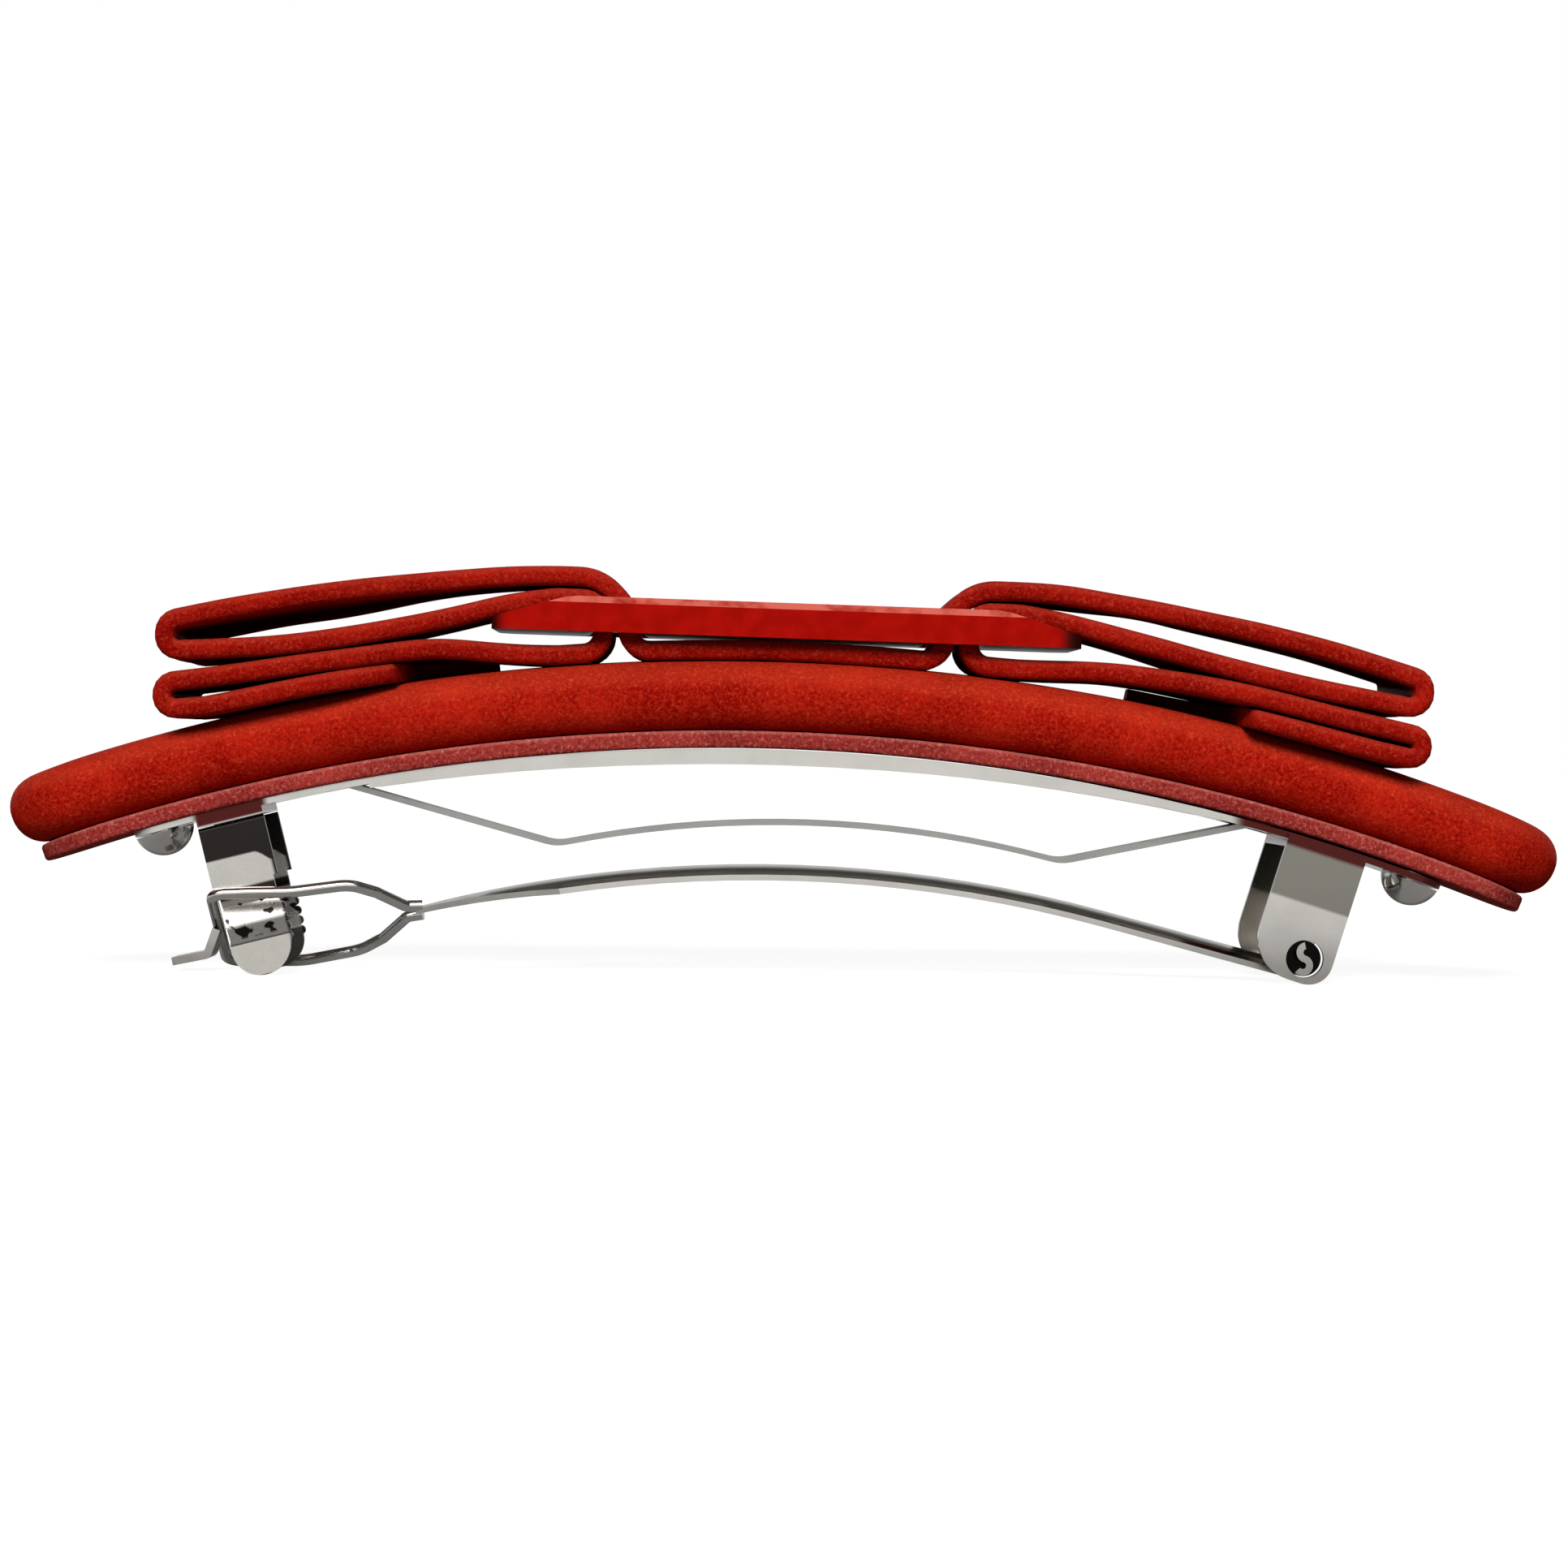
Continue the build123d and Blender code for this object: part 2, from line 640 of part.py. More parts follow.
# Slotted plate of painted metal, with rails beside its slots and a ramp at each end
with BuildPart() as bow_plate:
    with BuildSketch(side):
        with BuildLine():
            Polyline(
                (-plate_length / 2, plate_under),
                (plate_length / 2, plate_under),
                (plate_length / 2, plate_end_top),
                (slot_outer + plate_rail_start, plate_top),
                (-slot_outer - plate_rail_start, plate_top),
                (-plate_length / 2, plate_end_top),
                close=True,
            )
        make_face()
    extrude(amount=plate_width / 2, both=True)
    upright = Axis(side.origin, side.y_dir)
    fillet(bow_plate.edges().filter_by(upright), plate_corner)
    chamfer(bow_plate.faces().sort_by(upright)[-1].edges(), plate_bevel)
    # Space for the ribbon between the rails, above each end bar
    for hand in (-1, 1):
        with BuildSketch(side):
            with BuildLine():
                Polyline(
                    (hand * slot_inner, plate_under - ply),
                    (hand * slot_outer, plate_under - ply),
                    (hand * slot_outer, end_bar_top),
                    (hand * ramp_start, end_bar_top),
                    (hand * plate_length / 2, plate_end_top),
                    (hand * plate_length, plate_end_top),
                    (hand * plate_length, plate_top + ply),
                    (hand * slot_inner, plate_top + ply),
                    close=True,
                )
            make_face()
        extrude(amount=ribbon_waist / 2 + 2 * slot_gap, both=True, mode=Mode.SUBTRACT)
    # The ribbon bends round these edges
    bent_edges = [(slot_inner, plate_under), (slot_outer, plate_under), (slot_outer, end_bar_top)]
    for x, y in bent_edges:
        for hand in (-1, 1):
            corner = side.from_local_coords(Vector(hand * x, y))
            edge = bow_plate.edges().filter_by(Axis.Y).sort_by_distance(corner)[0]
            fillet(edge, bend_radius - ribbon_thickness / 2)
bow_plate.part.label = "bow_plate"
export_step(bow_plate.part, "parts/bow_plate.step")
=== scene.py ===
import math

import bmesh
import bpy
from mathutils import Matrix, Vector, noise


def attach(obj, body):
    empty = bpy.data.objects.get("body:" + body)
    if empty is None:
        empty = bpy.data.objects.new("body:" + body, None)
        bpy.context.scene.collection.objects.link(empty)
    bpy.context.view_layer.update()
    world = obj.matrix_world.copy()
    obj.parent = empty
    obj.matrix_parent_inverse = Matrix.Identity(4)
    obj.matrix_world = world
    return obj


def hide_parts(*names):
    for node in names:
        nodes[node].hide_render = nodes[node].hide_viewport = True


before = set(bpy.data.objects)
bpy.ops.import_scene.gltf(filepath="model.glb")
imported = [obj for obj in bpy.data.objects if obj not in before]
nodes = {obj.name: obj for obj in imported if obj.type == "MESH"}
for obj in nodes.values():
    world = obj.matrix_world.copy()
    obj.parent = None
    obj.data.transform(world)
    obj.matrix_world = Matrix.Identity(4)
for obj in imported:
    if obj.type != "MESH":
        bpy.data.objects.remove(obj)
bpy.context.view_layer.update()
MM = 0.001

# The side plane of the barrette, as in the CAD: its origin at the top of the bar's arch, millimetres
SIDE_ORIGIN = Vector((0.236, 0.0, 19.541))
REST_SLOPE = 0.02607
SIDE_ALONG = Vector((math.cos(REST_SLOPE), 0.0, -math.sin(REST_SLOPE)))
SIDE_UP = Vector((math.sin(REST_SLOPE), 0.0, math.cos(REST_SLOPE)))

# Padded bar and lining, millimetres. Both lie a little to the right of their solids
BAR_RADIUS = 131.0
BAR_SPAN = 95.7
BAR_WIDTH = 13.0
BAR_THICKNESS = 4.35
BAR_ROUNDING = 2.05
BAR_CROWN = 0.15
BAR_SHIFT = 0.3
LINING_GAP = 0.05
LINING_THICKNESS = 1.05
LINING_SETBACK = 0.5
LINING_END_SETBACK = 1.1
LINING_ROUNDING = 0.25
MIDDLE_RADIUS = BAR_RADIUS - BAR_THICKNESS / 2
BAR_HALF_ARC = MIDDLE_RADIUS * math.asin(BAR_SPAN / 2 / MIDDLE_RADIUS)

# Ribbon and plate, millimetres. They are the CAD's, apart from the ribbon's rounding and its foot,
# which lies 0.04 plies closer to the bar
PLY_GAP = 0.04
RIBBON_THICKNESS = 1.2
RIBBON_WIDTH = 16.0
RIBBON_WAIST = 10.2
WAIST_MARGIN = 0.4
WAIST_SHOULDER = 11.0
RIBBON_ROUNDING = 0.5
LEFT_LOOP_REACH = 38.2
RIGHT_LOOP_REACH = 39.2
LEFT_CUT_END = 23.9
RIGHT_CUT_END = 28.6
PLATE_LENGTH = 36.0
PLATE_END_BAR = 6.1
PLATE_SLOT = 2.9
PLATE_BAR_HEIGHT = 1.36
PLATE_END_HEIGHT = 0.72
SLOT_GAP = 0.1
BEND_RADIUS = 1.25
OVER_BAR_BEND_RADIUS = 2.5
FALL_BEND_RADIUS = 1.35
CREST_BEND_RADIUS = 3.0
CREST_FOOT_BEND_RADIUS = 1.9
CREST_LEAN = 1.79
CREST_PLIES = 1.1
FOOT_PLIES = 0.52
UNDER_PLATE_PLIES = 0.52
UNDER_PLATE_BEND_RADIUS = 30.0
PLY = RIBBON_THICKNESS + PLY_GAP
# Spacing of the points along the ribbon's route
ROUTE_STEP = 0.3
# How much closer the soft ribbon lies to the bar than its solid does
SEATING = 0.11

# Inner ends of the ribbon's tails, which run on under the strand above
LEFT_TAIL = 17.9
RIGHT_TAIL = 21.7
TAIL_PLIES = 0.42
CUT_END_PLIES = 0.5
CUT_END_BEND_RADIUS = 8.0
# Share of the thickness at a tail's tip, and where it starts to thin, as a share of the tail's length
TAIL_THINNING = 0.8
THINNING_START = 1.6
# Each tail is notched back from the front: where, as shares of its length, how deep, how slanted
NOTCH_RANGE = (0.78, 1.0)
NOTCH_DEPTH = 1.1
NOTCH_SLANT = 0.5
# For each hand, where an upper strand starts to lean, where it leans fully, and how far
STRAND_LEAN = {-1: (18.0, 29.0, 0.5), 1: (17.0, 24.0, -0.45)}
UPPER_STRAND_PLIES = (3.2, 4.8)
# Wavering of the ribbon's width, and ripples over it: height, pace along and across, noise's place
WAVER = 0.07
WAVER_PACE = 0.045
WAVER_PLACE = 3.1
RIPPLE = 0.05
RIPPLE_PACE = 0.06
RIPPLE_PACE_ACROSS = 0.22
RIPPLE_PLACE = 9.0


def side_point(x, y, depth=0.0):
    """World point, in metres, of a place on the side plane, moved toward the viewer by a depth."""
    return (SIDE_ORIGIN + SIDE_ALONG * x + SIDE_UP * y + Vector((0.0, -depth, 0.0))) * MM


def arch_point(along, across, radius):
    """World point at a length along the arch, measured at a radius from the arch's centre."""
    angle = along / MIDDLE_RADIUS
    x = radius * math.sin(angle) + BAR_SHIFT
    return side_point(x, radius * math.cos(angle) - BAR_RADIUS, across)


def finished_mesh(name, mesh):
    """Blender mesh with outward faces from a bmesh, which is freed."""
    bmesh.ops.recalc_face_normals(mesh, faces=mesh.faces)
    made = bpy.data.meshes.new(name)
    mesh.to_mesh(made)
    mesh.free()
    return made


def new_object(name, mesh, body, material):
    """Scene object of a mesh that rides on a body and takes a finish."""
    piece = bpy.data.objects.new(name, mesh)
    bpy.context.scene.collection.objects.link(piece)
    piece.data.materials.append(material)
    for polygon in piece.data.polygons:
        polygon.use_smooth = True
    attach(piece, body)
    return piece


# Node helpers


class Nodes:
    """A node tree, built one node at a time."""

    def __init__(self, tree):
        self.tree = tree

    def node(self, kind, **settings):
        made = self.tree.nodes.new(kind)
        for key, value in settings.items():
            setattr(made, key, value)
        return made

    def link(self, source, target):
        self.tree.links.new(source, target)

    def parts(self, coordinates):
        """Separate x, y and z of one of the texture coordinates."""
        split = self.node("ShaderNodeSeparateXYZ")
        source = self.node("ShaderNodeTexCoord").outputs[coordinates]
        self.link(source, split.inputs["Vector"])
        return split.outputs["X"], split.outputs["Y"], split.outputs["Z"]

    def smooth(self, source, low, high):
        """Smooth step of a value from 0 at low to 1 at high."""
        made = self.node("ShaderNodeMapRange", interpolation_type="SMOOTHSTEP")
        self.link(source, made.inputs["Value"])
        made.inputs["From Min"].default_value = low
        made.inputs["From Max"].default_value = high
        return made.outputs["Result"]

    def band(self, source, rise, fall):
        """Smooth step up over one range, times a smooth step down over another."""
        return self.product(self.smooth(source, *rise), self.smooth(source, *fall))

    def math(self, operation, *sources):
        """A number made from one or two sockets or plain numbers."""
        made = self.node("ShaderNodeMath", operation=operation)
        for socket, source in zip(made.inputs, sources):
            if isinstance(source, (int, float)):
                socket.default_value = source
            else:
                self.link(source, socket)
        return made.outputs[0]

    def product(self, first, second):
        return self.math("MULTIPLY", first, second)

    def sum(self, first, second):
        return self.math("ADD", first, second)

    def greater(self, first, second):
        return self.math("MAXIMUM", first, second)

    def mix(self, factor, first, second):
        """Colour between two sockets or plain colours."""
        made = self.node("ShaderNodeMix", data_type="RGBA")
        self.link(factor, made.inputs["Factor"])
        for socket, source in ((made.inputs[6], first), (made.inputs[7], second)):
            if isinstance(source, tuple):
                socket.default_value = (*source, 1.0)
            else:
                self.link(source, socket)
        return made.outputs[2]


class Shader(Nodes):
    """A material and its node tree."""

    def __init__(self, name):
        self.material = bpy.data.materials.new(name)
        self.material.use_nodes = True
        super().__init__(self.material.node_tree)
        self.bsdf = self.tree.nodes["Principled BSDF"]

    def coordinates(self):
        return self.node("ShaderNodeTexCoord").outputs["Object"]

    def noise(self, scale, detail=3.0, roughness=0.5):
        made = self.node("ShaderNodeTexNoise")
        self.link(self.coordinates(), made.inputs["Vector"])
        made.inputs["Scale"].default_value = scale
        made.inputs["Detail"].default_value = detail
        made.inputs["Roughness"].default_value = roughness
        return made.outputs["Fac"]

    def ramp(self, source, low, high, low_colour, high_colour):
        """Colour that goes from one at low to another at high."""
        made = self.node("ShaderNodeValToRGB")
        self.link(source, made.inputs["Fac"])
        made.color_ramp.elements[0].position = low
        made.color_ramp.elements[1].position = high
        made.color_ramp.elements[0].color = (*low_colour, 1.0)
        made.color_ramp.elements[1].color = (*high_colour, 1.0)
        return made.outputs["Color"]

    def span(self, source, low, high):
        """A value from 0 to 1 spread from low to high."""
        made = self.node("ShaderNodeMapRange")
        self.link(source, made.inputs["Value"])
        made.inputs["To Min"].default_value = low
        made.inputs["To Max"].default_value = high
        return made.outputs["Result"]

    def length(self, vector):
        made = self.node("ShaderNodeVectorMath", operation="LENGTH")
        self.link(vector, made.inputs[0])
        return made.outputs["Value"]

    def facing_up(self):
        """How far the surface faces up, from -1 to 1."""
        return self.parts("Normal")[2]

    def plane(self, origin, direction):
        """Distance along a direction from an origin in the side view, in millimetres."""
        x, _, z = self.parts("Object")
        along = self.product(self.math("SUBTRACT", x, origin[0] * MM), direction[0] / MM)
        up = self.product(self.math("SUBTRACT", z, origin[1] * MM), direction[1] / MM)
        return self.sum(along, up)

    def bump(self, source, distance, strength, under=None):
        """Normal of a bumpy surface, over another bump if there is one."""
        made = self.node("ShaderNodeBump")
        self.link(source, made.inputs["Height"])
        made.inputs["Distance"].default_value = distance
        made.inputs["Strength"].default_value = strength
        if under is not None:
            self.link(under, made.inputs["Normal"])
        return made.outputs["Normal"]

    def drive(self, name, source):
        """Links a socket to one of the surface's inputs."""
        self.link(source, self.bsdf.inputs[name])

    def hold(self, name, value):
        """Sets one of the surface's inputs to a constant."""
        self.bsdf.inputs[name].default_value = value


# Leather. Scales are per metre, and each bump is a depth in metres and a strength

CLOUD_SCALE = 260.0
CLOUD_SHARE = 0.45
GRAIN_SHARE = 0.75
GRAIN_ROUGHNESS = 0.7
TONE_RANGE = (0.48, 0.74)
SPECK_SCALE_SHARE = 0.8
SPECK_ROUGHNESS = 0.8
SPECK_RANGE = (0.48, 0.78)
SAND_BUMP = (0.00005, 0.55)
CREASE_SCALE = 1100.0
CREASE_DETAIL = 4.0
CREASE_BUMP = (0.00012, 0.3)
LEATHER_GLOSS_SCALE = 2500.0
# Over which upward directions the leather is painted paler as a painted highlight, and by how much at most
PAINTED_HIGHLIGHT_DIRECTIONS = (0.1, 0.6)
PAINTED_HIGHLIGHT_SHARE = 0.3
# Over which upward directions it takes on its sheen. Undersides stay matt
SHEEN_DIRECTIONS = (-0.2, 0.3)
SHEEN = 0.05
# Detail of the noise behind gloss, paint and dents
SOFT_DETAIL = 2.0


def leather(name, dark, light, speck_and_highlight_colour, grain_scale, roughness):
    """Sandy-grained leather whose colour varies from dark to light, with pale specks and a painted
    highlight on its upward faces.
    """
    shader = Shader(name)
    facing_up = shader.facing_up()
    grain = shader.noise(grain_scale, roughness=GRAIN_ROUGHNESS)
    cloud = shader.noise(CLOUD_SCALE)
    tone = shader.sum(shader.product(cloud, CLOUD_SHARE), shader.product(grain, GRAIN_SHARE))
    colour = shader.ramp(tone, *TONE_RANGE, dark, light)
    # Painted highlight: faces turned up are mixed toward the pale speck colour
    painted_highlight = shader.product(shader.smooth(facing_up, *PAINTED_HIGHLIGHT_DIRECTIONS), PAINTED_HIGHLIGHT_SHARE)
    sand = shader.noise(grain_scale * SPECK_SCALE_SHARE, roughness=SPECK_ROUGHNESS)
    specks_and_highlight = shader.sum(shader.smooth(sand, *SPECK_RANGE), painted_highlight)
    shader.drive("Base Color", shader.mix(specks_and_highlight, colour, speck_and_highlight_colour))
    gloss = shader.noise(LEATHER_GLOSS_SCALE, SOFT_DETAIL)
    shader.drive("Roughness", shader.span(gloss, *roughness))
    grain_bump = shader.bump(grain, *SAND_BUMP)
    creases = shader.noise(CREASE_SCALE, CREASE_DETAIL)
    shader.drive("Normal", shader.bump(creases, *CREASE_BUMP, under=grain_bump))
    sheen = shader.product(shader.smooth(facing_up, *SHEEN_DIRECTIONS), SHEEN)
    shader.drive("Specular IOR Level", sheen)
    return shader.material


# Paint

PAINT_CLOUD_SCALE = 900.0
PAINT_CLOUD_DETAIL = 4.0
PAINT_CLOUD_RANGE = (0.35, 0.65)
PAINT_GLOSS_SCALE = 1200.0
PAINT_GLOSS = (0.3, 0.42)
PAINT_SHEEN = 0.06
PEEL_SCALE = 1500.0
PEEL_BUMP = (0.00002, 0.3)
# Upward directions of the rounded edge's painted highlight and of its dark rim of painted shade, each a
# range up and a range down
PAINTED_HIGHLIGHT_EDGE = ((0.2, 0.42), (0.86, 0.72))
PAINTED_SHADE_RIM = ((0.88, 0.94), (0.995, 0.98))
HIGHLIGHT_PATCH_SCALE = 600.0
HIGHLIGHT_PATCH_RANGE = (0.25, 0.55)
# Ends of the plate, in metres from its middle, painted dark as shade
PLATE_END_SHADE = (0.0166, 0.0177)
PAINTED_SHADE_COLOUR = (0.03, 0.003, 0.002)


def painted_metal(name, dark, light, painted_highlight):
    """Semi-gloss paint with a faint orange peel, a paler painted highlight along its rounded edges and
    painted shade at its ends and along the top of its rounded edges.
    """
    shader = Shader(name)
    facing_up = shader.facing_up()
    cloud = shader.noise(PAINT_CLOUD_SCALE, PAINT_CLOUD_DETAIL)
    colour = shader.ramp(cloud, *PAINT_CLOUD_RANGE, dark, light)
    # Painted highlight along the upward part of the rounded edges, in patches
    patches = shader.smooth(shader.noise(HIGHLIGHT_PATCH_SCALE), *HIGHLIGHT_PATCH_RANGE)
    edge_highlight = shader.product(shader.band(facing_up, *PAINTED_HIGHLIGHT_EDGE), patches)
    from_middle = shader.math("ABSOLUTE", shader.parts("Object")[0])
    # Painted shade: dark ends, and a dark rim at the top of the rounded edges
    ends = shader.smooth(from_middle, *PLATE_END_SHADE)
    painted_shade_mask = shader.greater(ends, shader.band(facing_up, *PAINTED_SHADE_RIM))
    painted = shader.mix(edge_highlight, colour, painted_highlight)
    shader.drive("Base Color", shader.mix(painted_shade_mask, painted, PAINTED_SHADE_COLOUR))
    gloss = shader.noise(PAINT_GLOSS_SCALE, SOFT_DETAIL)
    shader.drive("Roughness", shader.span(gloss, *PAINT_GLOSS))
    shader.drive("Normal", shader.bump(shader.noise(PEEL_SCALE, SOFT_DETAIL), *PEEL_BUMP))
    shader.hold("Specular IOR Level", PAINT_SHEEN)
    return shader.material


# Polished metal

METAL_CLOUD_SCALE = 400.0
METAL_CLOUD_RANGE = (0.3, 0.7)
METAL_CLOUD_SHADE = 0.9
METAL_GLOSS_SCALE = 1800.0
METAL_GLOSS_DETAIL = 5.0
METAL_GLOSS_ROUGHNESS = 0.7
DENT_SCALE = 260.0
DENT_BUMP = (0.00004, 0.25)


def polished_metal(name, colour, roughness, painted_shading=None):
    """Polished metal with fine wear in its gloss, and darker where a mask of painted shade and dark
    reflections says.
    """
    shader = Shader(name)
    shader.hold("Metallic", 1.0)
    shade = [part * METAL_CLOUD_SHADE for part in colour]
    tone = shader.ramp(shader.noise(METAL_CLOUD_SCALE), *METAL_CLOUD_RANGE, shade, colour)
    if painted_shading:
        tone = painted_shading(shader, tone)
    shader.drive("Base Color", tone)
    gloss = shader.noise(METAL_GLOSS_SCALE, METAL_GLOSS_DETAIL, METAL_GLOSS_ROUGHNESS)
    shader.drive("Roughness", shader.span(gloss, *roughness))
    shader.drive("Normal", shader.bump(shader.noise(DENT_SCALE, SOFT_DETAIL), *DENT_BUMP))
    return shader.material


# Painted shade and dark reflections on the clip
# Places in the side view, millimetres: the latch's origin and directions, and the hinge's axis

LATCH_ORIGIN = (-33.727, 9.899)
LATCH_ALONG = (0.9697, 0.2442)
LATCH_UP = (-0.2442, 0.9697)
HINGE = (32.0385, 1.5744)
EAR_UP = (0.30, 0.954)
BORE_RADIUS = 1.16

# Painted shade in the hinge's bore: its edge in shares of the bore's radius, and the depths, in metres,
# that it fills
BORE_SHADE_EDGE = (1.01, 0.99)
BORE_SHADE_DEPTHS = ((0.00415, 0.0043), (0.00519, 0.00511))
BORE_SHADE_COLOUR = (0.012, 0.011, 0.010)

# Painted shade and dark reflections on the clip's base: x in metres, the rest in millimetres
WEB_ALONG = ((-2.4, -1.9), (2.6, 2.1))
WEB_HEIGHT = (-0.5, -0.35)
# Dark red painted reflection of the leather, on the web's top and the ears' tops
LEATHER_REFLECTION_COLOUR = (0.11, 0.022, 0.020)
# The ears: their upper part painted in shade, their tops in the painted reflection
HINGE_X = (0.0275, 0.0285)
EAR_HEIGHT = (3.1, 3.35)
EAR_SHADE_COLOUR = (0.30, 0.29, 0.25)
EAR_FOOT_HEIGHT = (6.2, 6.5)

# Painted shade and dark reflections on a tongue, millimetres up or along from the latch's origin
CORNER_ALONG = (0.9, 2.3)
CORNER_DROP = 0.9
UPPER_HEIGHT = (-2.75, -2.6)
BEND_HEIGHT = ((-5.35, -5.1), (-4.5, -4.7))
SIDE_ALONG_LATCH = (1.75, 2.0)
KNOB_HEIGHT = ((-7.8, -7.6), (-5.4, -5.6))
# Painted dark reflections in spots on the knob
SPOT_SCALE = 1300.0
SPOT_DETAIL = 1.0
SPOT_RANGE = (0.56, 0.60)
TONGUE_SHADE_COLOUR = (0.035, 0.03, 0.028)
# Below the knob the lip is darker
LIP_HEIGHT = (-7.85, -8.0)
LIP_COLOUR = (0.24, 0.23, 0.21)


def bore_shade(shader, tone):
    """Painted shade in the hinge's bore, round the curl of the pin."""
    x, y, z = shader.parts("Object")
    flat = shader.node("ShaderNodeCombineXYZ")
    shader.link(shader.math("SUBTRACT", x, HINGE[0] * MM), flat.inputs["X"])
    shader.link(shader.math("SUBTRACT", z, HINGE[1] * MM), flat.inputs["Z"])
    edge = [BORE_RADIUS * MM * share for share in BORE_SHADE_EDGE]
    inside = shader.smooth(shader.length(flat.outputs["Vector"]), *edge)
    deep = shader.band(shader.math("ABSOLUTE", y), *BORE_SHADE_DEPTHS)
    return shader.mix(shader.product(inside, deep), tone, BORE_SHADE_COLOUR)


def base_shade_and_reflections(shader, tone):
    """Painted shade on the upper part of the hinge's ears, and a painted dark red reflection of the leather
    on the latch's web and the ears' tops.
    """
    web_along = shader.band(shader.plane(LATCH_ORIGIN, LATCH_ALONG), *WEB_ALONG)
    web_height = shader.smooth(shader.plane(LATCH_ORIGIN, LATCH_UP), *WEB_HEIGHT)
    web = shader.product(web_along, web_height)
    ear_height = shader.plane(HINGE, EAR_UP)
    hinge = shader.smooth(shader.parts("Object")[0], *HINGE_X)
    ear = shader.product(hinge, shader.smooth(ear_height, *EAR_HEIGHT))
    ear_foot = shader.product(hinge, shader.smooth(ear_height, *EAR_FOOT_HEIGHT))
    tone = shader.mix(ear, tone, EAR_SHADE_COLOUR)
    tone = shader.mix(shader.greater(web, ear_foot), tone, LEATHER_REFLECTION_COLOUR)
    return bore_shade(shader, tone)


def tongue_shade_and_reflections(shader, tone):
    """Painted shade above a tongue's panel, along the bend below it and along its side, painted dark
    reflections in spots on its knob, and a darker lip.
    """
    height = shader.plane(LATCH_ORIGIN, LATCH_UP)
    along = shader.plane(LATCH_ORIGIN, LATCH_ALONG)
    corner = shader.product(shader.smooth(along, *CORNER_ALONG), CORNER_DROP)
    upper = shader.smooth(shader.sum(height, corner), *UPPER_HEIGHT)
    bend = shader.band(height, *BEND_HEIGHT)
    side = shader.smooth(along, *SIDE_ALONG_LATCH)
    dark = shader.greater(shader.greater(upper, bend), side)
    spot_noise = shader.smooth(shader.noise(SPOT_SCALE, SPOT_DETAIL), *SPOT_RANGE)
    spots = shader.product(shader.band(height, *KNOB_HEIGHT), spot_noise)
    tone = shader.mix(shader.smooth(height, *LIP_HEIGHT), tone, LIP_COLOUR)
    return shader.mix(shader.greater(dark, spots), tone, TONGUE_SHADE_COLOUR)


RED_LEATHER = leather(
    "red_leather",
    dark=(0.25, 0.002, 0.001),
    light=(0.52, 0.016, 0.006),
    speck_and_highlight_colour=(0.60, 0.052, 0.020),
    grain_scale=5200.0,
    roughness=(0.5, 0.62),
)
BOW_LEATHER = leather(
    "bow_leather",
    dark=(0.20, 0.002, 0.001),
    light=(0.42, 0.010, 0.004),
    speck_and_highlight_colour=(0.50, 0.050, 0.026),
    grain_scale=5600.0,
    roughness=(0.5, 0.62),
)
LINING_LEATHER = leather(
    "lining_leather",
    dark=(0.20, 0.012, 0.012),
    light=(0.42, 0.045, 0.035),
    speck_and_highlight_colour=(0.60, 0.20, 0.16),
    grain_scale=5000.0,
    roughness=(0.6, 0.8),
)
RED_PAINT = painted_metal(
    "red_paint", dark=(0.34, 0.003, 0.001), light=(0.42, 0.005, 0.002), painted_highlight=(0.70, 0.14, 0.10)
)
NICKEL_COLOUR = (0.82, 0.79, 0.74)
NICKEL_GLOSS = (0.09, 0.2)
TONGUE_GLOSS = (0.2, 0.34)
STEEL_COLOUR = (0.50, 0.49, 0.47)
STEEL_GLOSS = (0.25, 0.4)
NICKEL = polished_metal("nickel", NICKEL_COLOUR, NICKEL_GLOSS)
BASE_NICKEL = polished_metal("base_nickel", NICKEL_COLOUR, NICKEL_GLOSS, base_shade_and_reflections)
TONGUE_NICKEL = polished_metal("tongue_nickel", NICKEL_COLOUR, TONGUE_GLOSS, tongue_shade_and_reflections)
ARM_NICKEL = polished_metal("arm_nickel", NICKEL_COLOUR, NICKEL_GLOSS, bore_shade)
SPRING_STEEL = polished_metal("spring_steel", STEEL_COLOUR, STEEL_GLOSS)


# Padded bar and lining, both a stadium in plan bent along the arch

WELD_DISTANCE = 1e-7


def stadium_mesh(name, half_length, half_width, profile, top_radius, rows_along=120, rows_round=32):
    """Closed mesh of nested stadium rings. Each profile row: share of the half width, and height."""
    mesh = bmesh.new()
    straight = half_length - half_width
    # Rows of the plan: length along, and the outward direction along and across
    plan = []
    for end in (1, -1):
        for i in range(rows_round + 1):
            angle = math.pi * (i / rows_round - end * 0.5)
            plan.append((end * straight, math.cos(angle), math.sin(angle)))
        for i in range(1, rows_along):
            plan.append((end * straight * (1 - 2 * i / rows_along), 0.0, float(end)))
    rings = []
    for share, height in profile:
        reach = share * half_width
        radius = top_radius + height
        points = [arch_point(start + ahead * reach, -aside * reach, radius) for start, ahead, aside in plan]
        rings.append([mesh.verts.new(point) for point in points])
    for upper, lower in zip(rings, rings[1:]):
        for i in range(len(plan)):
            j = (i + 1) % len(plan)
            mesh.faces.new((upper[i], upper[j], lower[j], lower[i]))
    bmesh.ops.remove_doubles(mesh, verts=mesh.verts, dist=WELD_DISTANCE)
    return finished_mesh(name, mesh)


